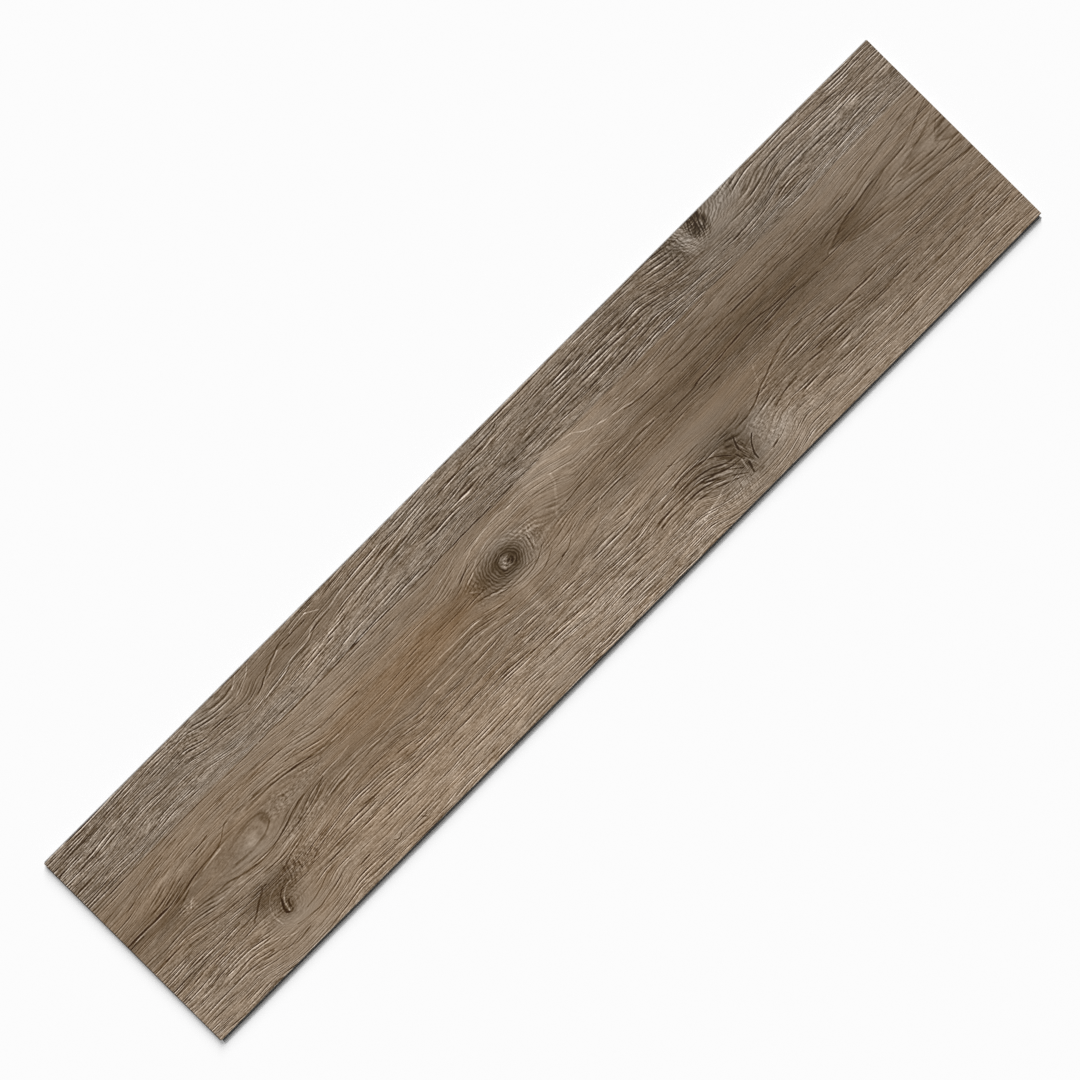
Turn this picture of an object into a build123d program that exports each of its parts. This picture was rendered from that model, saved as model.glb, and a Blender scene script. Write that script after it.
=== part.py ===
from build123d import *
import os
from math import radians, tan

# A rigid vinyl floor plank, lying face up. All sizes are in millimetres.
# X runs along the plank, +Y is the long side with the tongue, and +Z is up.
# The origin is on the underside, in the middle of the area that the plank covers once laid.

# The area that the plank covers once laid, and the thickness of the board.
cover_length = 1220.0
cover_width = 260.0
board_thickness = 5.0

# The fine bevel round the face: how far it reaches in, and how deep it goes.
bevel_run = 0.45
bevel_drop = 0.40

# The tongue, which is the same on a long side and on an end.
tongue_thickness = 1.5
tongue_nose_radius = 0.5

# The jaw under the groove, and the hook along its tip. The hook's locking wall leans outwards.
jaw_thickness = 1.4
hook_height = 0.85
hook_wall_lean = 13.0
hook_corner = 0.25
jaw_corner = 0.30

# How far a long side's tongue reaches out, and the widths of its open slot and of its hook.
long_tongue_reach = 1.2
long_slot_width = 2.1
long_hook_width = 2.1

# The same three sizes on an end, where the lock is shorter.
end_tongue_reach = 0.9
end_slot_width = 0.8
end_hook_width = 0.9

# Play between two locked planks: round the tongue, at the locking wall, over the hook
# and in front of the jaw's tip.
tongue_play = 0.06
wall_play = 0.05
hook_headroom = 0.15
tip_play = 0.30

# What the saw leaves round the board for the mill, and how far the mill runs past the board.
saw_allowance = 2.0
mill_overrun = 5.0

# Heights above the underside, each worked out from the ones before it.
slot_floor = jaw_thickness
hook_top = slot_floor + hook_height
rebate_roof = hook_top + hook_headroom
tongue_bottom = slot_floor + tongue_play
tongue_top = tongue_bottom + tongue_thickness
groove_roof = tongue_top + tongue_play
bevel_bottom = board_thickness - bevel_drop

# The seams are the upright planes where laid planks meet. A jaw reaches out past its seam,
# and a rebate that takes the neighbour's jaw is cut in from its own.
long_seam = cover_width / 2
end_seam = cover_length / 2
long_jaw_reach = long_slot_width + long_hook_width
end_jaw_reach = end_slot_width + end_hook_width
long_rebate = long_jaw_reach + tip_play
end_rebate = end_jaw_reach + tip_play
long_reach = max(long_jaw_reach, long_tongue_reach) + saw_allowance
end_reach = max(end_jaw_reach, end_tongue_reach) + saw_allowance
wall_slope = tan(radians(hook_wall_lean))


def rounded(face, out, radius):
    """The face with its corners at one distance out from the seam rounded."""
    corners = [corner for corner in face.vertices() if abs(corner.X - out) < 1e-6]
    return fillet(corners, radius)


def groove_waste(tongue_reach, slot_width, jaw_reach, reach):
    """What is milled off a side with a groove and a jaw, with the seam at 0 and outwards to the right."""
    groove_end = -tongue_reach - tongue_play
    outline = Polyline(
        # The bevel, the seam and the groove under the upper lip.
        (-bevel_run, board_thickness),
        (0, bevel_bottom),
        (0, groove_roof),
        (groove_end, groove_roof),
        (groove_end, slot_floor),
        # The slot, and the hook and the tip of the jaw.
        (slot_width, slot_floor),
        (slot_width + hook_height * wall_slope, hook_top),
        (jaw_reach - hook_corner, hook_top),
        (jaw_reach, hook_top - hook_corner),
        (jaw_reach, jaw_corner),
        (jaw_reach - jaw_corner, 0),
        # Round the outside of the board.
        (jaw_reach - jaw_corner, -mill_overrun),
        (reach + mill_overrun, -mill_overrun),
        (reach + mill_overrun, board_thickness + mill_overrun),
        (-bevel_run, board_thickness + mill_overrun),
        close=True,
    )
    return rounded(make_face(outline.edges()), groove_end, tongue_nose_radius + tongue_play)


def tongue_waste(tongue_reach, slot_width, rebate, reach):
    """What is milled off a side with a tongue, and with a rebate that takes the neighbour's jaw."""
    catch = -slot_width + wall_play
    catch_foot = catch - (tongue_bottom - slot_floor) * wall_slope
    catch_head = catch - (rebate_roof - slot_floor) * wall_slope
    # The catch leans as the hook's wall does, once the two planks face each other.
    outline = Polyline(
        # The bevel, the seam and the tongue.
        (-bevel_run, board_thickness),
        (0, bevel_bottom),
        (0, tongue_top),
        (tongue_reach, tongue_top),
        (tongue_reach, tongue_bottom),
        # The catch and the rebate.
        (catch_foot, tongue_bottom),
        (catch_head, rebate_roof),
        (-rebate, rebate_roof),
        # Round the outside of the board.
        (-rebate, -mill_overrun),
        (reach + mill_overrun, -mill_overrun),
        (reach + mill_overrun, board_thickness + mill_overrun),
        (-bevel_run, board_thickness + mill_overrun),
        close=True,
    )
    return rounded(make_face(outline.edges()), tongue_reach, tongue_nose_radius)


def milled_side(outwards, seam, waste, half_run):
    """The waste of one side, drawn out along that side. `outwards` points away from the plank."""
    along = outwards.cross(Vector(0, 0, 1))
    side = Plane(origin=outwards * seam, x_dir=outwards, z_dir=along)
    return extrude(side * waste, amount=half_run + mill_overrun, both=True)


def corner_waste(x, y):
    """What is taken off at one corner, outside the two lines at x and at y."""
    size = long_rebate + end_rebate + long_reach + end_reach
    align_x = Align.MIN if x > 0 else Align.MAX
    align_y = Align.MIN if y > 0 else Align.MAX
    block = Box(size, size, board_thickness + 2 * mill_overrun, align=(align_x, align_y, Align.MIN))
    return Pos(x, y, -mill_overrun) * block


# The sawn board, with room round it for every jaw and tongue.
half_length = end_seam + end_reach
half_width = long_seam + long_reach
plank = Box(2 * half_length, 2 * half_width, board_thickness, align=(Align.CENTER, Align.CENTER, Align.MIN))

# The long sides: the groove on the -Y side and the tongue on the +Y side.
long_groove = groove_waste(long_tongue_reach, long_slot_width, long_jaw_reach, long_reach)
long_tongue = tongue_waste(long_tongue_reach, long_slot_width, long_rebate, long_reach)
plank -= milled_side(Vector(0, -1, 0), long_seam, long_groove, half_length)
plank -= milled_side(Vector(0, 1, 0), long_seam, long_tongue, half_length)

# At the corners the jaws and tongues stop short, so that four planks can meet.
plank -= corner_waste(-end_seam, -long_seam)
plank -= corner_waste(end_seam - end_rebate, -long_seam)
plank -= corner_waste(-end_seam, long_seam - long_rebate)
plank -= corner_waste(end_seam, long_seam)

# The ends: the groove at the -X end and the tongue at the +X end.
end_groove = groove_waste(end_tongue_reach, end_slot_width, end_jaw_reach, end_reach)
end_tongue = tongue_waste(end_tongue_reach, end_slot_width, end_rebate, end_reach)
plank -= milled_side(Vector(-1, 0, 0), end_seam, end_groove, half_width)
plank -= milled_side(Vector(1, 0, 0), end_seam, end_tongue, half_width)

plank.label = "plank"
os.makedirs("parts", exist_ok=True)
export_step(plank, "parts/plank.step")
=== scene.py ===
import bpy
from math import pi, radians, sin
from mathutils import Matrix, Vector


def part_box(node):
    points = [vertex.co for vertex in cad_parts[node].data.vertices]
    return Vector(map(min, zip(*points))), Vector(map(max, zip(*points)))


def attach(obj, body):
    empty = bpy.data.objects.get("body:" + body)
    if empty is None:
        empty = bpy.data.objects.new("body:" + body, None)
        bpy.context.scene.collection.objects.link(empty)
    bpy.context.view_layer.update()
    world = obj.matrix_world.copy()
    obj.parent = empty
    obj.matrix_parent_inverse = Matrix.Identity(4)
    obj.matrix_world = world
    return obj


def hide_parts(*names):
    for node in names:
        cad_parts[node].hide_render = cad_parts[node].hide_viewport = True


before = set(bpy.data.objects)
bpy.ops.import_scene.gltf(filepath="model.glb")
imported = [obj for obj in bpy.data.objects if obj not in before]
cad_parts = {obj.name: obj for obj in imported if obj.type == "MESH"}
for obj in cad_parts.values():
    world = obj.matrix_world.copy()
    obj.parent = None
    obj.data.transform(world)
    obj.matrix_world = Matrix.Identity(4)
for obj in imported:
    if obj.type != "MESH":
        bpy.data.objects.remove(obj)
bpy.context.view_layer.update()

# The board is one piece of rigid vinyl, milled with a click lock on all four sides. It starts as a
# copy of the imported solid. The flat face is taken off and put back as a fine grid of the same size,
# so that the press can emboss the grain into it.

MM = 0.001
FACE_COLUMNS = 300
FACE_ROWS = 320
WELD = 0.01 * MM

_, board_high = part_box("plank")
face_height = board_high.z


def choose(obj, kind, wanted):
    """Selects the vertices, edges or faces of one mesh that `wanted` says yes to, and no others."""
    bpy.ops.object.mode_set(mode="OBJECT")
    mesh = obj.data
    for things in (mesh.vertices, mesh.edges, mesh.polygons):
        things.foreach_set("select", [False] * len(things))
    for thing in getattr(mesh, kind):
        thing.select = wanted(thing)
    bpy.ops.object.mode_set(mode="EDIT")


def take_up(*objs):
    """Selects these objects and no others, and makes the first one active."""
    bpy.ops.object.select_all(action="DESELECT")
    for obj in objs:
        obj.select_set(True)
    bpy.context.view_layer.objects.active = objs[0]


board = bpy.data.objects.new("board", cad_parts["plank"].data.copy())
bpy.context.collection.objects.link(board)
take_up(board)
bpy.ops.object.mode_set(mode="EDIT")
bpy.ops.mesh.select_mode(type="FACE")
bpy.ops.mesh.select_all(action="SELECT")
bpy.ops.mesh.remove_doubles(threshold=WELD)

choose(board, "polygons", lambda face: face.center.z > face_height - WELD)
face_points = [board.data.vertices[i].co for f in board.data.polygons if f.select for i in f.vertices]
face_ends = [min(p.x for p in face_points), max(p.x for p in face_points)]
face_sides = [min(p.y for p in face_points), max(p.y for p in face_points)]
bpy.ops.mesh.delete(type="FACE")


def on_rim(edge, axis):
    """Whether an edge lies on the rim of the opened face and runs along this axis."""
    start, end = (board.data.vertices[i].co for i in edge.vertices)
    is_high = min(start.z, end.z) > face_height - WELD
    return is_high and abs(start[1 - axis] - end[1 - axis]) < WELD


# The rim of the opened face gets as many points as the grid that fills it.
bpy.ops.mesh.select_mode(type="EDGE")
for axis, cells in ((0, FACE_COLUMNS), (1, FACE_ROWS)):
    choose(board, "edges", lambda edge: on_rim(edge, axis))
    bpy.ops.mesh.subdivide(number_cuts=cells - 1)
bpy.ops.object.mode_set(mode="OBJECT")

bpy.ops.mesh.primitive_grid_add(
    x_subdivisions=FACE_COLUMNS,
    y_subdivisions=FACE_ROWS,
    size=1,
    location=(sum(face_ends) / 2, sum(face_sides) / 2, face_height),
)
face_grid = bpy.context.active_object
face_grid.scale = (face_ends[1] - face_ends[0], face_sides[1] - face_sides[0], 1)
take_up(face_grid)
bpy.ops.object.transform_apply(location=True, rotation=True, scale=True)
take_up(board, face_grid)
bpy.ops.object.join()
bpy.ops.object.mode_set(mode="EDIT")
bpy.ops.mesh.select_all(action="SELECT")
bpy.ops.mesh.remove_doubles(threshold=WELD)
bpy.ops.mesh.normals_make_consistent(inside=False)
bpy.ops.object.mode_set(mode="OBJECT")


# The print is a photographic film of oak boards under a matt wear layer. Its grain runs along the
# plank, parts round the knots, and is pressed into the face in register. All places and sizes here
# are in millimetres, along and across the plank from its middle.


class Field:
    """A number that varies over the surface, made of nodes in one node tree."""

    def __init__(self, tree, socket):
        self.tree = tree
        self.socket = socket

    def math(self, operation, *others):
        node = self.tree.nodes.new("ShaderNodeMath")
        node.operation = operation
        for slot, value in enumerate((self,) + others):
            if isinstance(value, Field):
                self.tree.links.new(value.socket, node.inputs[slot])
            else:
                node.inputs[slot].default_value = value
        return Field(self.tree, node.outputs[0])

    def __add__(self, other):
        return self.math("ADD", other)

    def __sub__(self, other):
        return self.math("SUBTRACT", other)

    def __rsub__(self, other):
        return self.math("MULTIPLY_ADD", -1.0, other)

    def __mul__(self, other):
        return self.math("MULTIPLY", other)

    def __truediv__(self, other):
        return self.math("DIVIDE", other)

    __radd__ = __add__

    def at_least(self, low):
        return self.math("MAXIMUM", low)

    def at_most(self, high):
        return self.math("MINIMUM", high)

    def within(self, low, high):
        return self.at_least(low).at_most(high)

    def squared(self):
        return self * self

    def rise(self, start, end, low=0.0, high=1.0):
        """Goes smoothly from `low` at `start` to `high` at `end`."""
        if start > end:
            start, end, low, high = end, start, high, low
        node = self.tree.nodes.new("ShaderNodeMapRange")
        node.interpolation_type = "SMOOTHSTEP"
        self.tree.links.new(self.socket, node.inputs["Value"])
        for name, value in (("From Min", start), ("From Max", end), ("To Min", low), ("To Max", high)):
            node.inputs[name].default_value = value
        return Field(self.tree, node.outputs["Result"])


def place(x, y, z):
    """One vector out of three fields or numbers."""
    tree = next(value.tree for value in (x, y, z) if isinstance(value, Field))
    node = tree.nodes.new("ShaderNodeCombineXYZ")
    for slot, value in enumerate((x, y, z)):
        if isinstance(value, Field):
            tree.links.new(value.socket, node.inputs[slot])
        else:
            node.inputs[slot].default_value = value
    return Field(tree, node.outputs[0])


def cloud(x, y, z, detail=0.0, roughness=0.5):
    """Soft noise between about -1 and 1, one hump to each whole step of x, y and z."""
    spot = place(x, y, z)
    node = spot.tree.nodes.new("ShaderNodeTexNoise")
    spot.tree.links.new(spot.socket, node.inputs["Vector"])
    node.inputs["Scale"].default_value = 1.0
    node.inputs["Detail"].default_value = detail
    node.inputs["Roughness"].default_value = roughness
    return (Field(spot.tree, node.outputs[0]) - 0.5) * 3.0


def vectors(operation, *values):
    """One step of vector arithmetic, on fields and plain triples."""
    tree = next(value.tree for value in values if isinstance(value, Field))
    node = tree.nodes.new("ShaderNodeVectorMath")
    node.operation = operation
    for slot, value in enumerate(values):
        if isinstance(value, Field):
            tree.links.new(value.socket, node.inputs[slot])
        else:
            node.inputs[slot].default_value = value
    return Field(tree, node.outputs["Value" if operation == "DOT_PRODUCT" else "Vector"])


def patch(spot, middle, half_size, amount=1.0):
    """A soft oval patch on the face: `amount` in its middle, and gone at its edge."""
    finer = (1 / half_size[0], 1 / half_size[1], 0.0)
    shift = (-middle[0] / half_size[0], -middle[1] / half_size[1], 0.0)
    out = vectors("MULTIPLY_ADD", spot, finer, shift)
    return vectors("DOT_PRODUCT", out, out).rise(0.0, 1.0, amount, 0.0)


def patches(x, y, spots):
    """Soft oval patches added up, each with its middle, its half size and how much it adds."""
    spot = place(x, y, 0.0)
    total = None
    for middle, half_size, amount in spots:
        share = patch(spot, middle, half_size, amount)
        total = share if total is None else total + share
    return total


JOINT_ACROSS = 62.0

# The soft swells that bend the grain: the middle and half size of each, and how far it pushes.
SWELLS = (
    ((-445, 34), (150, 46), 12),
    ((-440, -36), (130, 32), -10),
    ((-463, -108), (76, 42), -8),
    ((-330, -34), (110, 42), 8),
    ((-455, 106), (120, 40), 5),
    ((-372, 98), (60, 34), -7),
    ((-25, 44), (110, 42), 14),
    ((-40, -18), (90, 34), -9),
    ((60, -74), (220, 46), -3),
    ((146, -60), (84, 40), 5),
    ((204, -106), (80, 46), -13),
    ((310, -44), (120, 34), 6),
    ((343, 98), (110, 44), -9),
    ((600, 42), (180, 42), 10),
    ((600, -32), (180, 40), -9),
)


def grain_across(x, y):
    """How far across the grain a point lies: it stays the same along each line of the grain."""
    across = y + cloud(x / 190, y / 70, 3.1) * 3.0 + cloud(x / 46, y / 17, 7.7) * 0.9
    across = across - patches(x, y, SWELLS)
    # In the grey board the grain climbs along the plank, up to its middle.
    climb = y.rise(JOINT_ACROSS - 0.5, JOINT_ACROSS + 0.5) * 14.0 + y.rise(JOINT_ACROSS, 135.0) * 9.0
    return across - x.rise(-360.0, 0.0) * climb


def surface_place(tree, kind, output):
    """Where a point of the surface lies, in millimetres along, across and up."""
    source = tree.nodes.new(kind)
    split = tree.nodes.new("ShaderNodeSeparateXYZ")
    tree.links.new(source.outputs[output], split.inputs[0])
    return [Field(tree, split.outputs[i]) * (1 / MM) for i in range(3)]


# Printed lines. Each has a tone, lighter above 0 and darker below, half its width with its fine
# edge, and the points that it runs through.
BOARD_JOINT = [
    (-39, 1.5, (-610, 59), (-560, 59.5), (-500, 60), (-430, 60), (-365, 60.5)),
    (-60, 1.6, (-365, 61), (-260, 61), (-204, 62), (-100, 62.5), (-60, 63), (-20, 63.5)),
    (-36, 1.5, (-20, 63.5), (40, 64), (120, 64)),
    (-39, 1.5, (300, 63), (325, 62), (350, 61), (380, 63)),
]
GREY_BOARD_LINES = [
    (-40, 1.6, (-610, 84), (-567, 84)),
    (-32, 1.5, (-610, 79.5), (-580, 80.5), (-540, 81), (-521, 79.5)),
    (-30, 1.5, (-610, 67.5), (-590, 68.5), (-568, 70)),
    (-32, 1.6, (-610, 118), (-560, 118.5), (-520, 119.5)),
    (22, 1.7, (-495, 119), (-475, 121), (-460, 124), (-450, 124.5), (-435, 124)),
    (-32, 1.5, (-590, 97), (-550, 97.5), (-500, 99.5)),
    (-30, 1.5, (-610, 103), (-583, 104)),
    (20, 1.5, (-560, 104), (-540, 105), (-520, 108), (-500, 108.5)),
    (-28, 1.5, (-560, 64), (-545, 65), (-480, 66)),
    (-28, 1.5, (-500, 89), (-480, 90), (-455, 89)),
    (-26, 1.5, (-409, 103), (-385, 104), (-365, 101)),
    (-26, 1.5, (-400, 98), (-370, 98), (-355, 95), (-345, 90)),
    (30, 2.0, (-350, 110), (-335, 116), (-322, 122), (-315, 128)),
    (26, 1.8, (-346, 119), (-338, 124), (-332, 129)),
    (-32, 2.2, (-345, 96.5), (-325, 99), (-315, 103.5), (-305, 109), (-290, 114.5), (-280, 118),
     (-262, 119)),
    (-44, 1.8, (-284, 115.5), (-265, 117.2), (-240, 117.6)),
    (-34, 1.7, (-280, 112), (-268, 111.6)),
    (28, 2.0, (-318, 101), (-305, 105.5), (-292, 112), (-278, 116.5), (-262, 119), (-243, 122.5),
     (-234, 122)),
    (30, 1.9, (-238, 123.5), (-230, 119), (-222, 114.5)),
    (28, 2.0, (-345, 88), (-318, 90), (-300, 92), (-280, 98), (-252, 101), (-244, 105.5), (-215, 109),
     (-185, 114), (-158, 116), (-120, 120)),
    (-26, 2.0, (-330, 87), (-300, 90), (-280, 96), (-252, 99), (-240, 104), (-215, 107.5)),
    (34, 1.9, (-270, 88.5), (-230, 90), (-215, 93), (-196, 97), (-165, 101)),
    (-40, 1.8, (-240, 87.5), (-215, 89), (-190, 93), (-160, 97), (-130, 102), (-80, 107), (-40, 112),
     (0, 117)),
    (30, 1.8, (-190, 96), (-160, 99.5), (-130, 104.5), (-90, 108)),
    (22, 1.7, (-107, 110), (-85, 112), (-65, 116), (-40, 120), (-10, 123)),
    (-32, 1.6, (-145, 93), (-125, 96), (-108, 98)),
    (21, 1.6, (-4, 109), (20, 111), (50, 114), (65, 116)),
    (-36, 1.6, (5, 118), (30, 119), (45, 121)),
    (-40, 1.6, (45, 81), (95, 81), (140, 81)),
    (18, 1.5, (0, 78.5), (60, 78.5), (150, 77), (200, 76)),
    (-28, 1.5, (0, 71), (40, 72), (90, 71)),
    (26, 1.5, (140, 66), (160, 66.3), (178, 66.3)),
    (20, 1.6, (115, 105), (140, 106), (160, 107), (200, 110)),
    (-28, 1.5, (50, 94), (100, 93.5), (130, 93.5)),
    (-34, 1.5, (162, 83), (182, 83.5)),
    (22, 1.7, (205, 108), (240, 106.5), (270, 104.5), (283, 101), (293, 97.5)),
    (-32, 1.5, (205, 70), (250, 69.5), (270, 70), (300, 72)),
    (-32, 1.5, (205, 82), (250, 82)),
    (-30, 1.5, (285, 90), (300, 88), (312, 84)),
    (-34, 1.5, (325, 80), (345, 80)),
    (-30, 1.5, (355, 76), (380, 77), (405, 80)),
    (-30, 1.5, (430, 79), (450, 80), (470, 77)),
    (-32, 1.5, (430, 83.5), (465, 83), (505, 82)),
    (-36, 1.5, (530, 97), (560, 97.5), (590, 98)),
    (-34, 1.6, (500, 124), (560, 123), (610, 123.5)),
]
TAN_BOARD_LINES = [
    (-26, 1.5, (-610, 42.5), (-570, 45), (-520, 48), (-495, 51)),
    (-22, 1.5, (-610, 34), (-560, 35), (-530, 39)),
    (16, 1.5, (-530, 39), (-500, 41), (-470, 46)),
    (-30, 1.5, (-440, 49), (-400, 47), (-360, 45), (-330, 44)),
    (-26, 1.5, (-409, 42), (-380, 40.5), (-350, 40)),
    (-26, 1.5, (-320, 42), (-290, 43), (-260, 43), (-220, 42)),
    (-24, 1.5, (-310, 26), (-280, 26.5), (-255, 26)),
    (-22, 1.5, (-360, 28), (-330, 28.5), (-295, 28)),
    (-34, 1.6, (-500, 28), (-485, 29), (-470, 31)),
    (-30, 1.5, (201, 44), (230, 41), (265, 41)),
    (-26, 1.5, (285, 39.5), (330, 38), (375, 38), (410, 40), (430, 42)),
    (20, 1.5, (-140, 41), (-120, 45), (-105, 46), (-85, 53), (-60, 56)),
    (20, 1.6, (-4, 53), (20, 52), (40, 47), (50, 43)),
    (20, 1.6, (25, 60), (60, 56), (85, 49)),
    (26, 1.9, (80, 60), (95, 57), (105, 50), (120, 45), (145, 39), (165, 36)),
    (-38, 1.8, (150, 36), (180, 32), (209, 31), (240, 29.5), (300, 29), (340, 27.5)),
    (22, 1.6, (148, 52), (158, 48), (180, 46.5), (209, 43.5)),
    (18, 1.6, (98, 34), (115, 25), (125, 21)),
    (21, 1.6, (215, 63), (240, 59), (290, 55)),
    (-26, 1.5, (340, 28), (370, 28.5), (390, 29)),
    (-24, 1.5, (-30, 58), (20, 57)),
]
LEFT_EYE_LINES = [
    (-16, 2.6, (-455, 8), (-436, 10.5), (-420, 9.5), (-413, 6)),
    (-18, 2.6, (-471, -12), (-455, -13.5), (-432, -12), (-420, -8.5), (-413, -4)),
    (-58, 2.2, (-610, 6.6), (-580, 6.4), (-552, 6.2)),
    (28, 1.9, (-600, 4.4), (-570, 4.2), (-548, 4.8)),
    (-35, 1.9, (-610, 2.6), (-590, 3.2)),
    (-26, 1.9, (-552, 10), (-535, 12), (-520, 12.5)),
    (-24, 1.8, (-545, 4), (-525, 8), (-505, 11)),
    (-25, 2.1, (-545, -4), (-527, 3), (-512, 7), (-490, 11), (-471, 14.5), (-462, 18), (-455, 23),
     (-447, 26.5), (-430, 27)),
    (-30, 2.0, (-430, 27), (-400, 23.5), (-380, 20), (-352, 16), (-330, 12), (-310, 8)),
    (24, 1.8, (-518, 4), (-505, 5)),
    (18, 1.8, (-500, 7.5), (-485, 9.5), (-470, 11)),
    (20, 1.6, (-412, 23), (-400, 22.4), (-386, 22)),
    (-30, 2.1, (-545, -9), (-530, -13), (-512, -18), (-490, -20), (-460, -27), (-440, -28), (-420, -25)),
    (-25, 2.0, (-484, -22), (-470, -24), (-455, -27)),
    (-36, 2.0, (-420, -25), (-400, -18), (-380, -12), (-368, -10.5)),
    (26, 2.2, (-541, -10), (-533, -12), (-524, -15), (-516, -17)),
    (18, 2.2, (-536, -11), (-530, -6), (-525, -4.5)),
    (22, 1.8, (-515, -26), (-500, -26.5), (-480, -29), (-460, -33), (-445, -36), (-430, -36), (-415, -33)),
    (17, 1.8, (-415, -33), (-390, -31), (-370, -27), (-345, -22)),
    (19, 1.8, (-345, -22), (-290, -19), (-250, -16), (-210, -9)),
    (-26, 2.0, (-372, -19), (-355, -16), (-342, -11)),
    (23, 1.8, (-342, -10), (-320, -9.5), (-300, -8)),
    (20, 1.8, (-370, -33), (-345, -28), (-320, -26), (-250, -24.5), (-200, -24)),
    (-28, 1.8, (-360, -31), (-345, -29.5), (-300, -28), (-260, -27)),
    (20, 1.8, (-325, 9), (-310, 8.5), (-300, 8.5)),
    (-25, 1.8, (-330, 6), (-315, 6.5), (-300, 6.5)),
    (-22, 1.8, (-362, 17), (-340, 14), (-318, 12)),
    (-24, 1.7, (-409, 26), (-385, 24), (-372, 24)),
]
HOOKED_KNOT_LINES = [
    (-30, 2.8, (-500, -68), (-480, -56), (-468, -49)),
    (26, 1.9, (-476, -67), (-470, -61.5), (-464, -58.5), (-456, -57.5), (-445, -58.5)),
    (28, 2.2, (-460, -71.5), (-455, -68), (-449, -65), (-442, -63.5)),
    (-30, 2.4, (-463, -70), (-458, -65.5), (-452, -63)),
    (-32, 2.6, (-470, -83), (-465, -87), (-460, -86)),
    (20, 1.7, (-560, -91), (-510, -91), (-495, -97), (-480, -105), (-470, -108)),
    (-36, 1.7, (-560, -98), (-530, -100), (-505, -102.5)),
    (-26, 1.8, (-450, -96), (-430, -93), (-410, -86), (-392, -84)),
    (-28, 1.7, (-500, -108), (-485, -113), (-460, -112)),
    (-26, 1.7, (-470, -101), (-440, -105), (-420, -101), (-400, -98)),
    (-30, 2.2, (-440, -50), (-420, -45), (-400, -40)),
    (-30, 2.0, (-409, -65), (-395, -61), (-380, -59)),
    (-26, 2.0, (-412, -58), (-395, -54), (-375, -52)),
    (18, 1.7, (-409, -52), (-390, -48), (-372, -46)),
    (-26, 1.6, (-505, -42), (-480, -45), (-462, -49)),
]
MIDDLE_KNOT_LINES = [
    (27, 1.7, (-200, -12), (-150, -11), (-110, -12), (-90, -15), (-75, -19)),
    (-34, 1.7, (-110, -14), (-85, -18), (-60, -21), (-40, -22), (-20, -20), (-5, -13)),
    (27, 1.7, (-200, -22.5), (-170, -21), (-140, -22), (-110, -25), (-85, -30)),
    (27, 1.7, (-200, -33), (-130, -34.5), (-100, -36), (-80, -39), (-55, -41.5)),
    (23, 1.6, (-105, -45), (-80, -49), (-50, -50), (0, -51)),
    (23, 1.6, (-95, 23), (-85, 26), (-72, 33), (-60, 38), (-40, 41), (-20, 40)),
    (22, 1.7, (-110, 31), (-90, 38), (-70, 45), (-55, 49), (-30, 52), (-5, 50)),
    (27, 2.2, (-100, 15), (-93, 9), (-88, 1)),
    (23, 1.7, (-86, -2), (-75, -7), (-65, -12)),
    (-34, 1.6, (-80, -7), (-60, -13), (-40, -14.5), (-25, -11), (-10, -3)),
    (-26, 1.7, (-100, -27), (-50, -33), (-30, -32), (0, -27)),
    (-34, 1.7, (-112, 27), (-95, 31), (-80, 38)),
    (22, 1.6, (67, -11), (85, -10.5), (102, -12)),
    (-34, 1.6, (66, -13), (85, -12.7), (105, -13.5)),
    (26, 1.6, (115, 8), (145, 9.5), (168, 8)),
    (-29, 1.5, (120, 5.5), (145, 7), (165, 6)),
    (22, 1.5, (140, 2), (155, 3.5), (168, 6)),
    (-36, 1.8, (40, 11), (70, 13), (95, 15)),
    (-31, 1.8, (95, 16), (115, 18), (140, 16)),
    (23, 1.6, (55, -20), (65, -14)),
    (-29, 1.7, (-4, -27), (8, -24), (18, -18)),
    (-26, 1.7, (-4, -40), (20, -36), (45, -30), (56, -25)),
    (-31, 1.6, (140, -38), (150, -42.5), (180, -44)),
    (-41, 1.7, (182, 0), (205, 0), (225, 1)),
    (-46, 1.7, (222, 1.5), (250, 3), (290, 5.5), (305, 6), (320, 5), (345, 2), (372, 0)),
    (-34, 1.6, (320, -5), (360, -4.5), (400, -6)),
    (-43, 1.6, (228, -11.5), (248, -10.5)),
    (20, 1.8, (-40, -48), (-60, -41)),
]
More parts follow.
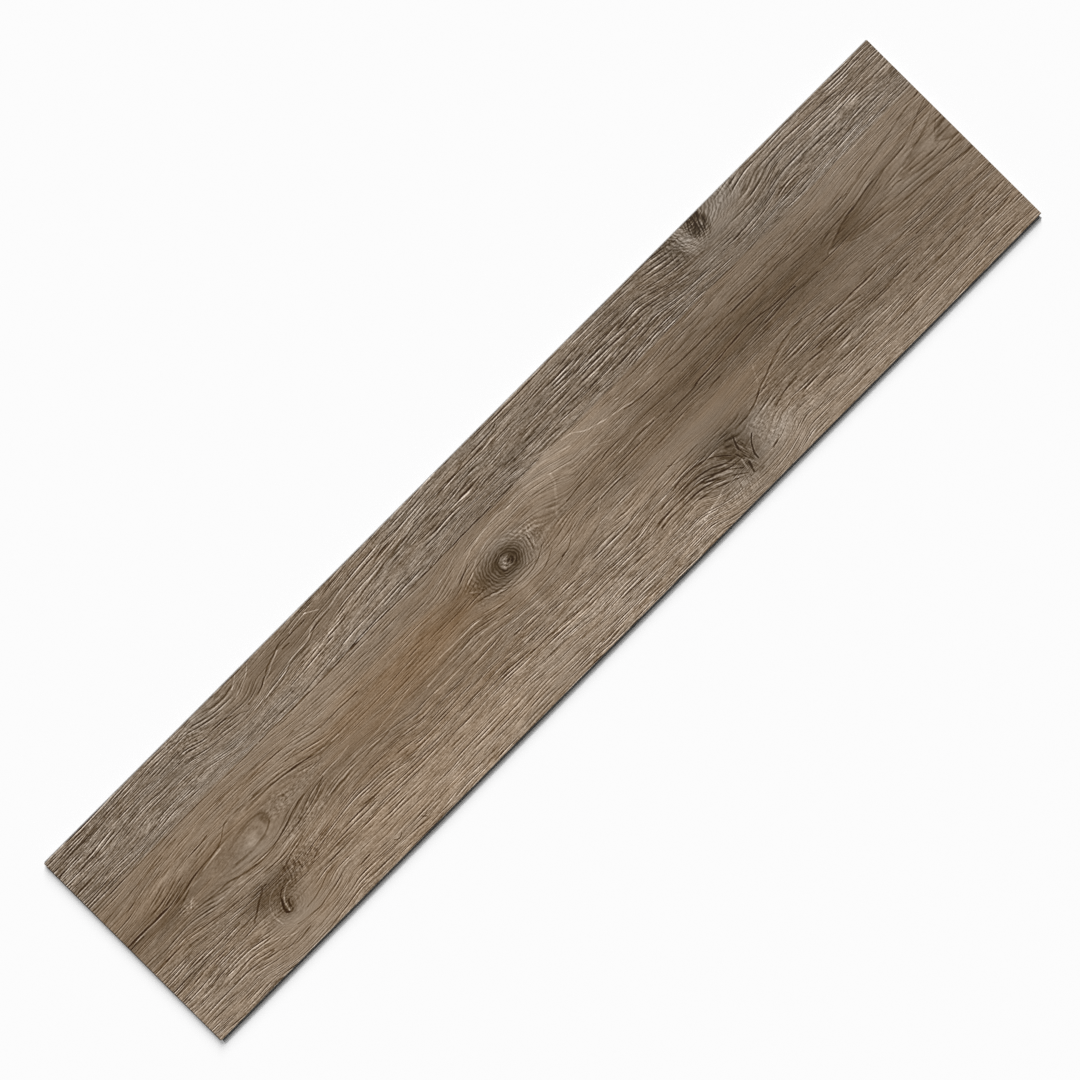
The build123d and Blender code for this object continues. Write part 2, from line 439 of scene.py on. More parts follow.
DARK_KNOT_LINES = [
    (-40, 2.0, (126, -60), (145, -58.5), (165, -60), (178, -64), (190, -72), (197, -78)),
    (24, 1.8, (110, -59), (130, -56.5), (150, -56), (168, -57.5)),
    (-36, 2.0, (120, -68), (155, -68.5), (175, -74), (188, -82), (197, -91)),
    (-44, 2.0, (90, -74), (130, -73.5), (155, -75), (175, -82), (188, -89), (197, -96)),
    (26, 1.8, (100, -76), (130, -75.5), (155, -77.5), (172, -83), (186, -91)),
    (-40, 2.0, (90, -80), (130, -79.5), (155, -82), (175, -90), (188, -97), (197, -103)),
    (-36, 1.9, (140, -87), (160, -91), (178, -97), (192, -103)),
    (24, 1.7, (140, -62), (160, -63.5), (176, -69), (188, -77)),
    (24, 1.7, (130, -84), (155, -86), (172, -92), (186, -99)),
    (-40, 2.4, (218, -61), (235, -60.5), (250, -57), (268, -49)),
    (-30, 2.2, (268, -49), (290, -41), (305, -36), (330, -30), (352, -29)),
    (20, 1.8, (262, -54), (280, -47), (300, -41), (330, -34)),
    (-30, 1.8, (352, -30), (375, -33.5)),
    (-30, 1.8, (262, -76), (275, -72), (290, -69), (305, -68)),
    (-28, 1.8, (268, -85), (285, -81), (305, -83)),
    (20, 1.7, (270, -83), (290, -79.5), (308, -81)),
    (22, 1.6, (275, -52), (300, -51), (320, -52), (340, -50)),
    (-32, 1.7, (325, -66), (350, -66.5), (370, -65.5)),
    (-34, 2.4, (233, -103), (241, -101), (248, -97)),
    (-36, 2.4, (205, -110), (214, -110.5)),
    (24, 2.2, (128, -106), (140, -103), (150, -101), (165, -97)),
    (-26, 1.8, (120, -113), (145, -109), (170, -104)),
    (20, 1.7, (285, -109), (305, -106), (330, -104)),
]
ARCH_LINES = [
    (-20, 2.4, (418, 0), (440, 7), (455, 12), (475, 15), (500, 20), (540, 22), (560, 24), (580, 31),
     (600, 40), (610, 43)),
    (15, 2.0, (455, 14.5), (475, 17), (500, 21.5), (520, 22)),
    (-22, 2.4, (445, -7), (460, -12), (480, -15), (520, -18), (550, -20), (580, -25), (610, -28)),
    (16, 2.0, (450, -12), (460, -13), (490, -17), (540, -20)),
    (24, 1.8, (566, -23), (575, -25), (585, -26)),
    (-24, 2.2, (480, 32), (500, 35), (540, 41), (570, 47), (610, 53)),
    (-12, 2.4, (540, 9), (560, 14), (580, 19), (600, 27), (610, 33)),
    (-20, 2.0, (546, -6), (560, -8), (580, -11), (607, -15)),
    (-9, 2.6, (585, 4), (592, 11), (603, 20), (610, 25)),
    (-9, 2.6, (585, 3), (594, -3), (605, -7), (610, -8)),
    (-25, 2.0, (430, 31), (460, 32), (480, 31)),
    (16, 1.8, (430, 29.5), (445, 30)),
    (20, 1.6, (568, -35.5), (580, -36.5), (590, -37)),
    (24, 1.6, (592, -39), (600, -40), (610, -41)),
    (22, 1.6, (420, -1), (440, -2.2)),
    (-30, 1.7, (517, 1), (525, 0.6), (531, -0.4)),
    (-24, 2.2, (420, 12), (445, 16), (478, 18)),
]
LOWER_LINES = [
    (-40, 1.6, (-150, -71), (-100, -74), (-60, -76), (-20, -79), (20, -80), (70, -80.5)),
    (-36, 1.6, (0, -74), (50, -74.5), (130, -75)),
    (18, 1.5, (-4, -51), (20, -50), (40, -49)),
    (-28, 1.6, (-4, -59), (40, -58), (75, -54), (100, -51), (140, -50)),
    (-52, 1.8, (8, -102), (40, -103.5), (75, -104)),
    (-46, 1.7, (47, -110), (70, -109.5)),
    (-34, 1.6, (10, -117), (45, -117.5), (75, -117.5)),
    (-46, 1.8, (360, -46.5), (390, -47.5), (414, -47), (445, -48)),
    (22, 1.6, (365, -49), (414, -49.5), (445, -49.5)),
    (26, 1.6, (345, -80), (370, -79), (390, -78), (420, -79)),
    (-34, 1.6, (285, -109), (300, -107), (320, -104.5)),
    (-34, 1.6, (460, -40), (490, -41), (520, -41)),
    (21, 1.5, (465, -42), (490, -43), (515, -43)),
    (-34, 1.6, (500, -51), (560, -53), (610, -55)),
    (22, 1.6, (500, -60), (550, -61), (610, -63)),
    (-38, 1.7, (400, -69), (425, -68.5), (450, -68)),
    (-32, 1.5, (460, -85), (500, -86), (530, -84)),
    (21, 1.5, (405, -87), (440, -86)),
    (21, 1.5, (430, -58), (455, -57.5), (478, -59)),
    (-40, 2.2, (590, -93.5), (598, -92.5)),
    (-34, 1.6, (540, -108.5), (560, -108)),
    (-30, 1.6, (-400, -79), (-370, -77.5), (-300, -78), (-250, -78), (-200, -77)),
    (-28, 1.5, (-330, -42), (-290, -41), (-240, -42), (-200, -43)),
    (-26, 1.5, (-285, -72), (-250, -71.5), (-220, -72)),
    (-32, 1.7, (-338, -110), (-332, -113), (-325, -110)),
    (-32, 2.6, (-300, -113), (-294, -118)),
    (-36, 1.7, (-380, -104.5), (-365, -103)),
    (-34, 1.6, (-205, -126.5), (-190, -126)),
    (-32, 1.6, (-610, -31), (-568, -31.5)),
    (-30, 1.6, (-610, -22.5), (-580, -22.5)),
    (-30, 1.6, (-610, -61.5), (-555, -60.5)),
    (-30, 1.6, (-550, -57.5), (-510, -58)),
    (-34, 1.7, (-598, -88.5), (-585, -88)),
    (-30, 1.6, (-350, -60.5), (-335, -61)),
    (-32, 1.6, (-340, -65.5), (-320, -65.5)),
    (-30, 1.5, (-570, -116), (-540, -118)),
    (-30, 1.5, (-300, -58), (-240, -60)),
    (-34, 1.6, (-190, -104), (-160, -103.5)),
    (-34, 1.6, (-50, -102), (-25, -102)),
    (-34, 1.6, (-40, -118.5), (-5, -118)),
    (20, 1.5, (-204, -98), (-170, -97), (-140, -99)),
]
PRINTED_LINES = (
    BOARD_JOINT + GREY_BOARD_LINES + TAN_BOARD_LINES + LEFT_EYE_LINES + HOOKED_KNOT_LINES
    + MIDDLE_KNOT_LINES + DARK_KNOT_LINES + ARCH_LINES + LOWER_LINES
)

# Short lines that stand across the plank, with their points given as across, along.
UPRIGHT_LINES = [
    (36, 2.4, (-85, -465), (-80, -463.5), (-74, -461), (-71, -458.5)),
    (-38, 3.0, (-87, -467), (-81, -468), (-75, -465), (-70, -462)),
    (-34, 2.8, (-84, -461), (-80, -459.5), (-76, -457)),
    (15, 2.2, (-91, -479.5), (-82, -481), (-74, -480), (-67, -476)),
    (10, 3.4, (20, 34), (28, 40), (36, 46), (43, 48)),
    (10, 3.4, (-5, 18), (5, 22), (15, 28), (20, 34)),
    (26, 2.2, (2, -17), (8, -13), (16, -11), (22, -10)),
    (-24, 2.4, (0, -20), (8, -17), (16, -15)),
    (15, 2.2, (10, -9), (17, -7), (24, -5)),
    (-52, 2.4, (-79, 206), (-72, 208), (-66, 211)),
    (-40, 2.4, (-107, 201), (-100, 203), (-94, 205)),
    (-44, 2.2, (-90, 203), (-85, 202), (-80, 201)),
    (-64, 2.6, (-100, 215), (-92, 216), (-86, 219), (-80, 224), (-76, 228)),
    (26, 2.0, (-100, 199), (-93, 200), (-87, 201)),
    (11, 3.0, (-45, 270), (-35, 275), (-24, 281)),
]

LINES_AT_ONCE = 3
OFF_THE_BOARD = -800.0
CURVE_REACH = 800.0
CURVE_MARGIN = 4.0


def drawn_lines(run, side, lines):
    """The tone that a list of printed lines adds. They run along `run`, and `side` is the other way."""
    tree = run.tree
    run_three = place(run, run, run)
    level = side / CURVE_REACH
    side_three = place(level, level, level)
    total = None
    lines = sorted(lines, key=lambda line: line[2][0])
    for first in range(0, len(lines), LINES_AT_ONCE):
        group = lines[first:first + LINES_AT_ONCE]
        start = min(line[2][0] for line in group) - CURVE_MARGIN
        end = max(line[-1][0] for line in group) + CURVE_MARGIN
        middle, half = (start + end) / 2, (end - start) / 2
        share = vectors("MULTIPLY_ADD", run_three, (1 / half,) * 3, (-middle / half,) * 3)

        # One curve for each line gives its place across the run, and lies off the board past its ends.
        curves = tree.nodes.new("ShaderNodeVectorCurve")
        curves.mapping.extend = "HORIZONTAL"
        for curve, (_, _, *points) in zip(curves.mapping.curves, group):
            lead_in = [(start, OFF_THE_BOARD), (points[0][0] - 1.0, OFF_THE_BOARD)]
            lead_out = [(points[-1][0] + 1.0, OFF_THE_BOARD), (end, OFF_THE_BOARD)]
            route = [((a - middle) / half, b / CURVE_REACH) for a, b in lead_in + points + lead_out]
            curve.points[0].location = route[0]
            curve.points[1].location = route[1]
            for spot in route[2:]:
                curve.points.new(*spot)
            # A line is smooth between its ends, and its curve breaks off sharply past them.
            for index, point in enumerate(curve.points):
                inner = 2 < index < len(route) - 3
                point.handle_type = "AUTO" if inner else "VECTOR"
        # A curve that no line needs lies off the board all along.
        for curve in curves.mapping.curves[len(group):]:
            curve.points[0].location = (-1.0, OFF_THE_BOARD / CURVE_REACH)
            curve.points[1].location = (1.0, OFF_THE_BOARD / CURVE_REACH)
        curves.mapping.update()
        tree.links.new(share.socket, curves.inputs["Vector"])

        # Across a line the tone is full in the middle, turns faintly to its opposite, and then ends.
        spare = [(0.0, 1.0)] * (LINES_AT_ONCE - len(group))
        tones, half_widths = zip(*[line[:2] for line in group + spare])
        offset = vectors("SUBTRACT", Field(tree, curves.outputs[0]), side_three)
        offset = vectors("MULTIPLY", offset, tuple(CURVE_REACH / w for w in half_widths))
        spread = vectors("MINIMUM", vectors("MULTIPLY", offset, offset), (1.0,) * 3)
        edge = vectors("MULTIPLY_ADD", spread, (3.0,) * 3, (-4.0,) * 3)
        tone = vectors("DOT_PRODUCT", vectors("MULTIPLY_ADD", spread, edge, (1.0,) * 3), tones)
        total = tone if total is None else total + tone
    return total


# How far the painted highlight of a pressed line lies beside its dark middle, and how much lighter and
# darker than the board the two are. The highlight is painted light on the lit wall of the groove, and the
# dark middle is print made darker by painted shade in the groove. Then how strong the drawn lines come
# out.
PAINTED_HIGHLIGHT_OFFSET = 1.0
PAINTED_HIGHLIGHT_SHARE = 0.55
DARK_PRINT_AND_SHADE_SHARE = 1.08
DRAWN_STRENGTH = 1.9

# The tan board's plain tone and warmth, and the darkest and lightest tone that the film can print.
PLAIN_TONE = 116.0
PLAIN_WARMTH = 36.0
DARKEST, LIGHTEST = 24.0, 215.0

# The tinted rim of the film: where it starts along and across, how wide it fades in, and its tones.
RIM_ALONG = 609.2
RIM_ACROSS = 129.2
RIM_FADE = 0.4
RIM_DARK = 22.0
RIM_PALE = 30.0

# The lines pressed along the grain: their length, how far apart they run, half their width, where their
# pattern starts, and how strong they are in the print, with its painted shade and painted highlight.
PRESSED_LINES = (
    (40, 3.4, 0.6, 21.0, 118.0),
    (22, 3.0, 0.56, 41.0, 104.0),
    (12, 2.3, 0.5, 61.0, 80.0),
)

# Where the fine grain is stronger or fainter than elsewhere in its board.
STRONG_GRAIN = (
    ((-600, 120), (190, 60), 0.35),
    ((-340, 104), (120, 40), -0.3),
    ((-300, 76), (130, 18), -0.25),
    ((-30, 110), (140, 40), 0.12),
    ((370, 90), (90, 50), -0.25),
    ((222, -38), (80, 34), -0.25),
    ((40, -112), (140, 40), 0.4),
    ((-461, -76), (54, 32), -0.65),
    ((-48, 12), (54, 28), -0.5),
    ((-445, -2), (100, 28), -0.4),
    ((343, 118), (70, 40), -1.1),
    ((-268, 112), (112, 24), -0.7),
    ((230, -84), (48, 36), -0.85),
    ((-450, -94), (64, 16), -0.5),
    ((-463, -112), (80, 24), -0.4),
    ((530, 4), (150, 40), -0.25),
    ((500, 34), (90, 16), -0.2),
    ((28, 18), (46, 20), -0.3),
    ((-40, -18), (44, 10), -0.3),
    ((280, 20), (200, 34), -0.12),
    ((190, -38), (110, 26), -0.3),
    ((-560, -60), (130, 44), 0.3),
    ((-30, -70), (140, 40), 0.2),
    ((430, -60), (180, 50), -0.12),
)

# Where the grain is crinkled beside a knot: the middle, the half size, and how strongly.
CRINKLED = (
    ((-420, 112), (34, 26), 68),
    ((-300, 76), (130, 18), 30),
    ((-418, -56), (44, 18), 52),
    ((-14, 12), (24, 22), 42),
    ((-49, 11), (11, 10), 90),
    ((222, -86), (50, 34), 30),
    ((150, -112), (60, 16), 44),
    ((-395, 2), (26, 16), 54),
    ((-355, 2), (36, 14), 40),
    ((-385, -27), (50, 12), 48),
    ((-536, -9), (20, 11), 36),
    ((-94, 10), (14, 24), 34),
    ((320, 114), (44, 26), 34),
    ((275, -84), (54, 40), 36),
    ((20, 8), (30, 20), 26),
    ((-466, -72), (44, 28), 28),
    ((-462, -2), (70, 20), 20),
)

# The rings of each knot: the middle, the half size, how far they are drawn out to the left and to
# the right, how far apart they are, and how strong.
KNOT_RINGS = (
    ((-47, 11), (66, 32), (0.74, 0.84), 3.0, 29),
    ((-463, -79), (38, 32), (0.95, 0.8), 2.9, 10),
    ((343, 132), (80, 54), (0.66, 0.62), 2.9, 30),
    ((246, -92), (34, 34), (0.9, 0.9), 2.4, 9),
    ((184, -114), (28, 16), (0.8, 0.8), 2.6, 13),
    ((-436, -2), (84, 24), (0.28, 0.4), 5.2, 6),
)

# The broad lights and darks of the figure: the middle, the half size, and the tone.
FIGURE = (
    ((350, 12), (240, 38), -22),
    ((250, 40), (260, 120), -8),
    ((196, -76), (74, 44), -19),
    ((206, -82), (20, 34), -26),
    ((160, -72), (50, 24), -10),
    ((249, -80), (30, 32), 16),
    ((150, -112), (54, 16), 8),
    ((344, 121), (17, 20), -66),
    ((343, 130), (60, 16), -14),
    ((302, 116), (22, 30), -17),
    ((323, 117), (11, 26), 20),
    ((382, 112), (44, 30), 9),
    ((-463, -57), (48, 17), -30),
    ((-463, -72), (34, 28), -12),
    ((-463, -80), (13, 13), -30),
    ((-425, -58), (40, 18), -14),
    ((-570, 6), (110, 20), -12),
    ((-58, 11), (50, 26), -32),
    ((-47, 11), (22, 17), -34),
    ((-49, 11), (11, 9), 78),
    ((-45, 10), (6, 5), -80),
    ((-40, -17), (40, 6), 17),
    ((8, -18), (16, 9), 15),
    ((-30, 45), (62, 8), 8),
    ((-14, 14), (20, 20), 5),
    ((-20, -14), (100, 30), 6),
    ((80, 54), (100, 30), 14),
    ((40, 50), (56, 26), 7),
    ((250, 50), (56, 26), -7),
    ((120, -38), (130, 30), 8),
    ((510, 4), (60, 18), 7),
    ((-120, 16), (60, 18), -8),
    ((-440, -5), (14, 8), 16),
    ((-536, -8), (14, 9), 14),
    ((-555, 0), (26, 16), -8),
    ((-468, -1), (28, 10), -7),
    ((-415, 2), (7, 11), -26),
    ((-500, 3), (26, 9), 5),
    ((-440, -20), (54, 7), 9),
    ((-425, 20), (44, 7), 4),
    ((-300, 76), (260, 26), 10),
    ((-270, 112), (100, 26), -10),
    ((250, 108), (110, 40), -9),
    ((450, -58), (240, 56), -14),
    ((590, -104), (140, 44), -8),
    ((-250, -96), (190, 56), 11),
    ((-10, -92), (150, 56), 9),
    ((-350, 40), (150, 34), 6),
    ((-350, 2), (64, 24), 6),
    ((-410, -50), (110, 26), 6),
    ((50, -50), (64, 26), 6),
    ((-55, -30), (9, 32), 10),
)

# Where fine rays stand out of a knot: how they lean, and each spot's middle, half size and strength.
RAYS = (
    ((0.92, 0.39), (
        ((344, 122), (20, 26), 84),
        ((304, 116), (16, 26), 30),
        ((-430, -57), (24, 14), 44),
        ((184, -112), (26, 18), 30),
    )),
    ((0.97, -0.24), (
        ((322, 116), (16, 30), 44),
        ((238, -82), (22, 26), 20),
        ((208, -86), (12, 24), 60),
    )),
)

# The pointed arches of the figure at the right: the tip, how fast the upper and the lower arm spread,
# how far the dark edge reaches in, and its tone. The bend is how much the arms curve.
ARCH_BEND = 1.6
ARCHES = (
    ((425, 0), (0.5, 0.85), 74, -17),
    ((529, 1), (0.4, 0.88), 44, -17),
    ((583, 4), (0.22, 0.42), 30, -22),
)

# Where the print is warmer or greyer: the middle, the half size, and how much.
WARM = (
    ((-220, 8), (150, 36), 9),
    ((-480, 30), (180, 40), 3),
    ((206, -80), (80, 60), -7),
    ((343, 124), (80, 40), -4),
    ((-100, 0), (160, 50), 3),
    ((250, -38), (80, 26), 4),
    ((-290, -80), (260, 80), 5),
    ((-250, 110), (170, 50), 4),
    ((420, 10), (300, 160), -3),
    ((-463, -70), (50, 40), -4),
    ((-47, 11), (56, 34), -9),
)


def is_grey_board(y):
    """1 on the grey board, 0 on the tan one."""
    return y.rise(JOINT_ACROSS - 1.5, JOINT_ACROSS + 1.5)


def grain_strength(x, y):
    """How strong the fine grain is: strong in the grey board and low down, faint in the tan board."""
    strength = 0.6 + is_grey_board(y) * 0.66 + y.rise(-22.0, -60.0) * 0.42 + patches(x, y, STRONG_GRAIN)
    return strength * (cloud(x / 60, y / 25, 5.5) * 0.22 + 1.0)


def pressed_lines(x, across, length, spacing, half_width, seed):
    """Short lines pressed along the grain: their dark middle, and beside it the place of a painted
    highlight on the lit wall of the groove.
    """
    row = across / spacing + cloud(x / 70, across / (spacing * 3), seed) * 0.45
    number = row.math("FLOOR")
    offset = (row - number - 0.5) * spacing
    present = cloud(x / length, number * 2.3, seed + 3.4).rise(-0.25, 0.75)
    dark = (1.0 - offset.math("ABSOLUTE") / half_width).at_least(0.0)
    painted_highlight = (1.0 - (offset + PAINTED_HIGHLIGHT_OFFSET).math("ABSOLUTE") / half_width).at_least(0.0)
    return dark * present, painted_highlight * present


def board_print(x, y):
    """The print's tone and warmth, both in steps of 255."""
    grey_board = is_grey_board(y)
    across = grain_across(x, y)
    strength = grain_strength(x, y)
    layer = y / 55

    fibre = cloud(x / 17, across / 0.95, layer, detail=1.0, roughness=0.6)
    speckle = cloud(x / 2.4, across / 1.0, layer + 30.0)
    threads = cloud(x / 40, across / 2.1, layer + 4.0, detail=1.0)
    bands = cloud(x / 210, across / 13, layer + 15.0, detail=1.0)
    tone = fibre * 37.0 + speckle * 21.0 + threads * 9.0
    # Each pressed line darkens the print along its middle, partly as painted shade in the groove, and adds
    # a painted highlight beside it.
    for length, spacing, half_width, seed, amount in PRESSED_LINES:
        dark, painted_highlight = pressed_lines(x, across, length, spacing, half_width, seed)
        tone = tone + (painted_highlight * PAINTED_HIGHLIGHT_SHARE - dark * DARK_PRINT_AND_SHADE_SHARE) * amount
    tone = tone * strength + cloud(x / 3.8, y / 1.7, 40.0, detail=1.0) * patches(x, y, CRINKLED)
    tone = tone + bands * 7.0 + cloud(x / 110, y / 60, 8.8, detail=2.0) * 6.0

    # The base tone of the boards, and the broad lights and darks of the figure.
    base = PLAIN_TONE - grey_board * 3.0 - y.rise(30.0, 12.0) * 8.0
    base = base + y.rise(-14.0, -34.0) * 5.0 + y.rise(-58.0, -100.0) * 11.0
    base = base + patches(x, y, FIGURE)
    wobble = cloud(x / 13, y / 9, 35.5) * 1.5 + cloud(x / 4, y / 3, 36.5) * 0.9
    uneven = cloud(x / 9, y / 7, 37.5) * 0.5 + 0.85
    spot = place(x, y, 0.0)
    for middle, half_size, (left, right), apart, amount in KNOT_RINGS:
        ahead = x - middle[0]
        ahead = (ahead * right).math("MAXIMUM", ahead * -left)
        distance = (ahead.squared() + (y - middle[1]).squared()).math("SQRT") + wobble
        rings = (distance * (2 * pi / apart)).math("SINE") + 0.15
        tone = tone + rings * uneven * patch(spot, middle, half_size, amount)
    for (cosine, sine), spots in RAYS:
        rays = cloud((x * cosine - y * sine) / 1.7, (x * sine + y * cosine) / 10, 45.0)
        tone = tone + rays * patches(x, y, spots)

    # Each arch is darkest along its edge, which is frayed by the fibres, and fades inwards.
    frayed = cloud(x / 26, y / 5, 27.5) * 7.0 + cloud(x / 12, y / 1.3, 31.5) * 5.0
    for tip, (upper, lower), reach, amount in ARCHES:
        above = y - tip[1]
        below = above * -1.0
        spread = above.at_least(0.0).math("POWER", ARCH_BEND) * upper
        spread = spread + below.at_least(0.0).math("POWER", ARCH_BEND) * lower
        inside = x - tip[0] - spread + frayed
        tone = tone + inside.rise(0.0, 5.0) * inside.rise(reach, 0.0) * amount
        tone = tone + inside.rise(-24.0, 0.0) * inside.rise(3.0, 0.0) * 7.0

    shaky_x = x + cloud(x / 9, y / 12, 17.5) * 0.8
    shaky_y = y + cloud(x / 15, y / 9, 12.5) * 0.55
    drawn = drawn_lines(shaky_x, shaky_y, PRINTED_LINES)
    upright = drawn_lines(shaky_y, shaky_x, UPRIGHT_LINES)
    patchy = 0.8 + cloud(x / 12, y / 3, 19.5) * 0.45
    tone = base + tone + (drawn + upright) * patchy * DRAWN_STRENGTH

    # Round the rim the film is darker on three sides, and pale along the groove side.
    at_ends = x.math("ABSOLUTE").rise(RIM_ALONG, RIM_ALONG + RIM_FADE)
    dark_rim = y.rise(RIM_ACROSS, RIM_ACROSS + RIM_FADE).math("MAXIMUM", at_ends)
    tone = tone - dark_rim * RIM_DARK + y.rise(-RIM_ACROSS, -RIM_ACROSS - RIM_FADE) * RIM_PALE

    warmth = PLAIN_WARMTH - grey_board * 5.3 + (104.0 - tone).at_least(0.0) * 0.06
    warmth = warmth + patches(x, y, WARM) + cloud(x / 60, across / 9, 25.0) * 3.0 - drawn * 0.04
    return tone.within(DARKEST, LIGHTEST), warmth


# The press sinks the face along the printed grain: along the two longer kinds of pressed line and
# the darkest drawn ones. It only pushes down, and leaves the rim alone.
PRESS_DEPTH = 0.1
PRESS_RIM = 3.0
PRESS_WIDENING = 1.5
FULL_DEPTH_TONE = 40.0
DEEP_LINE_TONE = -38

press = bpy.data.node_groups.new("press the grain in", "GeometryNodeTree")
press.interface.new_socket("Geometry", in_out="INPUT", socket_type="NodeSocketGeometry")
press.interface.new_socket("Geometry", in_out="OUTPUT", socket_type="NodeSocketGeometry")
flat = press.nodes.new("NodeGroupInput")
along, across, up = surface_place(press, "GeometryNodeInputPosition", "Position")
grain = grain_across(along, across)
depth = None
for length, spacing, half_width, seed, _ in PRESSED_LINES[:2]:
    dark, _ = pressed_lines(along, grain, length, spacing, half_width * PRESS_WIDENING, seed)
    depth = dark if depth is None else depth.math("MAXIMUM", dark)
deep_lines = [line for line in PRINTED_LINES if line[0] <= DEEP_LINE_TONE]
depth = depth * grain_strength(along, across) - drawn_lines(along, across, deep_lines) / FULL_DEPTH_TONE
past_end = along.math("ABSOLUTE") - face_ends[1] / MM
past_side = across.math("ABSOLUTE") - face_sides[1] / MM
inside_rim = past_end.math("MAXIMUM", past_side).rise(0.0, -PRESS_RIM)
on_face = up.rise(face_height / MM - 0.01, face_height / MM - 0.005) * inside_rim
push = depth.within(0.0, 1.0) * on_face * (-PRESS_DEPTH * MM)
sunk = press.nodes.new("GeometryNodeSetPosition")
press.links.new(flat.outputs[0], sunk.inputs["Geometry"])
press.links.new(place(0.0, 0.0, push).socket, sunk.inputs["Offset"])
done = press.nodes.new("NodeGroupOutput")
press.links.new(sunk.outputs[0], done.inputs[0])

take_up(board)
board.modifiers.new("press", "NODES").node_group = press
bpy.ops.object.modifier_apply(modifier="press")

# The film is matt and carries the print. Its darks lean a little to green, so that they look greyish
# brown. It ends at its foot, low on the bevel, and the milled sides and the underside are bare grey
# core, faintly speckled.
FILM_FOOT = 4.6
FILM_FADE = 0.05
CORE_TONE = 0.32
CORE_SPECKLE = 0.02

board_finish = bpy.data.materials.new("printed vinyl board")
board_finish.use_nodes = True
nodes = board_finish.node_tree.nodes
links = board_finish.node_tree.links
coat = nodes["Principled BSDF"]
along, across, up = surface_place(board_finish.node_tree, "ShaderNodeTexCoord", "Object")

tone, warmth = board_print(along, across)
greenness = 0.4 + (96.0 - tone).at_least(0.0) * 0.03
shown = place((tone + warmth * 0.5) / 255, (tone + greenness) / 255, (tone - warmth * 0.5) / 255)
linear = nodes.new("ShaderNodeGamma")
linear.inputs["Gamma"].default_value = 2.2
links.new(shown.socket, linear.inputs["Color"])

core_tone = CORE_TONE + cloud(along / 2.4, across / 2.4, up / 2.4, detail=3.0) * CORE_SPECKLE
core_colour = place(core_tone, core_tone * 0.99, core_tone * 0.97)

on_face = up.rise(FILM_FOOT - FILM_FADE, FILM_FOOT + FILM_FADE)
mix = nodes.new("ShaderNodeMix")
mix.data_type = "RGBA"
links.new(on_face.socket, mix.inputs["Factor"])
links.new(core_colour.socket, mix.inputs["A"])
links.new(linear.outputs[0], mix.inputs["B"])
links.new(mix.outputs["Result"], coat.inputs["Base Color"])
coat.inputs["Roughness"].default_value = 0.55
coat.inputs["Specular IOR Level"].default_value = 0.15

board.data.materials.clear()
board.data.materials.append(board_finish)
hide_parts("plank")
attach(board, "root")


# The floor is a plain pale sheet. It takes the plank's soft shadow, and a camera sees it nearly white.

FLOOR_SIZE = 6.0
FLOOR_TONE = 0.96
OWN_WHITE = 0.28

bpy.ops.mesh.primitive_plane_add(size=FLOOR_SIZE, location=(0, 0, 0))
floor = bpy.context.active_object
floor.name = "floor"

floor_finish = bpy.data.materials.new("pale floor")
floor_finish.use_nodes = True
floor_nodes = floor_finish.node_tree.nodes
floor_links = floor_finish.node_tree.links
sheet = floor_nodes["Principled BSDF"]
sheet.inputs["Base Color"].default_value = (FLOOR_TONE, FLOOR_TONE, FLOOR_TONE, 1)
sheet.inputs["Roughness"].default_value = 1.0
sheet.inputs["Specular IOR Level"].default_value = 0.0


def seen_directly(nodes, links):
    """1 for what the camera sees, also in a reflection or through glass, and 0 for light that falls."""
    path = nodes.new("ShaderNodeLightPath")
    seen = path.outputs["Is Camera Ray"]
    for name in ("Is Glossy Ray", "Is Transmission Ray"):
        larger = nodes.new("ShaderNodeMath")
        larger.operation = "MAXIMUM"
        links.new(seen, larger.inputs[0])
        links.new(path.outputs[name], larger.inputs[1])
        seen = larger.outputs[0]
    return seen


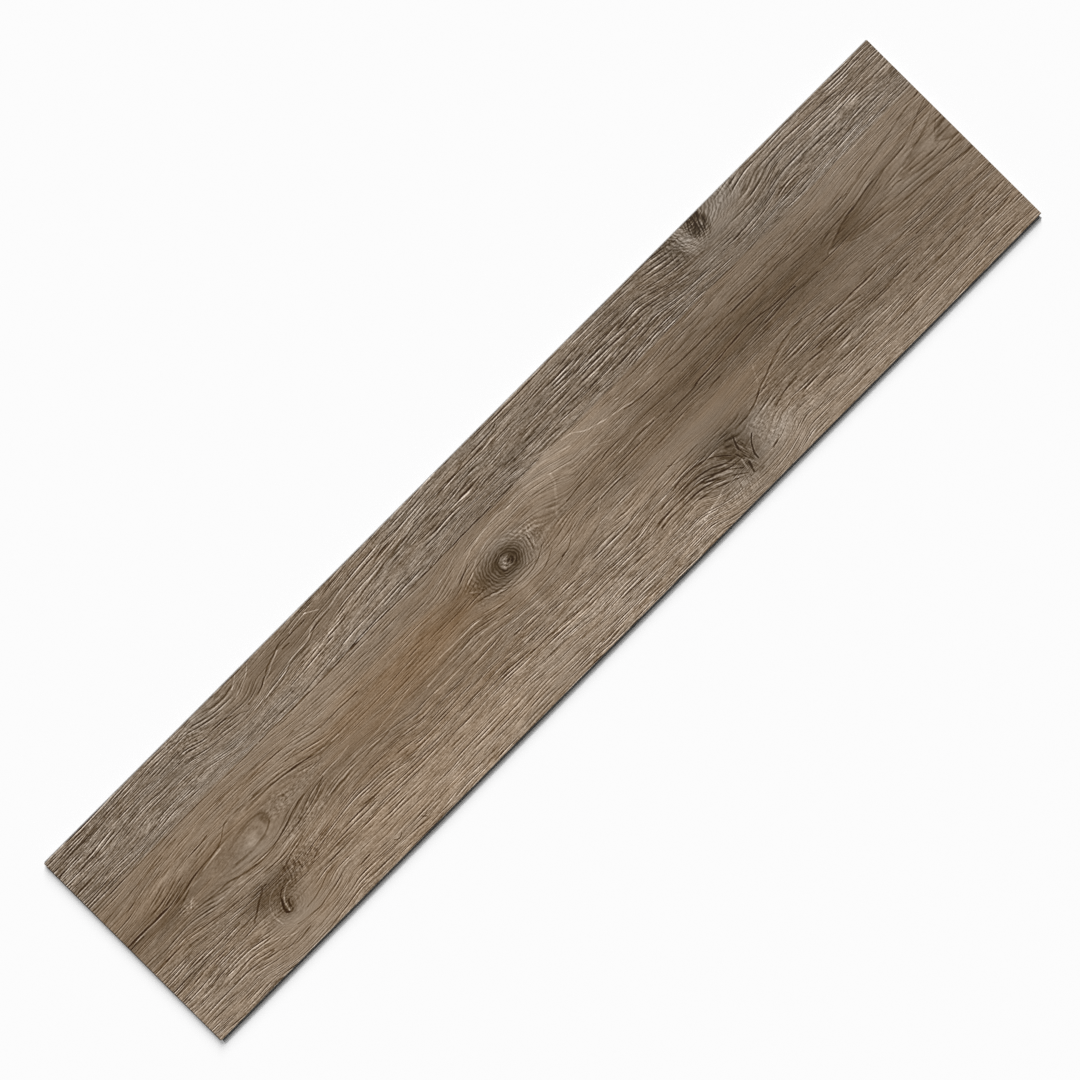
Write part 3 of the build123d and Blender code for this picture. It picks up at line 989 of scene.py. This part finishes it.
white = floor_nodes.new("ShaderNodeEmission")
white.inputs["Strength"].default_value = 1.0
share = floor_nodes.new("ShaderNodeMath")
share.operation = "MULTIPLY"
share.inputs[1].default_value = OWN_WHITE
floor_links.new(seen_directly(floor_nodes, floor_links), share.inputs[0])
blend = floor_nodes.new("ShaderNodeMixShader")
floor_links.new(share.outputs[0], blend.inputs[0])
floor_links.new(sheet.outputs[0], blend.inputs[1])
floor_links.new(white.outputs[0], blend.inputs[2])
floor_links.new(blend.outputs[0], floor_nodes["Material Output"].inputs["Surface"])
floor.data.materials.append(floor_finish)


# The light is one large soft lamp, low over the far side of the plank, and a faint fill from all
# round. A camera sees the backdrop in the floor's own white.

SKY_SHARE = 0.15
BACKDROP = 0.98
LAMP_HEIGHT = radians(27)
LAMP_SPREAD = radians(34)
LAMP_TURN = radians(-45)

world = bpy.data.worlds.new("studio")
bpy.context.scene.world = world
world.use_nodes = True
sky_nodes = world.node_tree.nodes
sky_links = world.node_tree.links
sky = sky_nodes["Background"]
sky.inputs["Color"].default_value = (1, 1, 1, 1)
strength = sky_nodes.new("ShaderNodeMapRange")
strength.inputs["To Min"].default_value = SKY_SHARE
strength.inputs["To Max"].default_value = BACKDROP
sky_links.new(seen_directly(sky_nodes, sky_links), strength.inputs["Value"])
sky_links.new(strength.outputs["Result"], sky.inputs["Strength"])

bpy.ops.object.light_add(type="SUN", rotation=(pi / 2 - LAMP_HEIGHT, 0, LAMP_TURN + pi))
lamp = bpy.context.active_object
lamp.data.energy = pi * (1 - SKY_SHARE) / sin(LAMP_HEIGHT)
lamp.data.angle = LAMP_SPREAD


# The camera looks almost straight down on the plank, which lies corner to corner across the picture.
# Its place is in millimetres, and its turn and its field of view are in degrees.

CAMERA_PLACE = (-37.19, -1.36, 1400.0)
CAMERA_TURN = (0.933, -0.736, -45.15)
CAMERA_VIEW = 44.107

camera = bpy.data.objects.new("camera", bpy.data.cameras.new("camera"))
bpy.context.collection.objects.link(camera)
camera.location = [distance * MM for distance in CAMERA_PLACE]
camera.rotation_euler = [radians(angle) for angle in CAMERA_TURN]
camera.data.angle = radians(CAMERA_VIEW)
bpy.context.scene.camera = camera
bpy.context.scene.view_settings.view_transform = "Standard"
bpy.context.scene.cycles.use_denoising = False
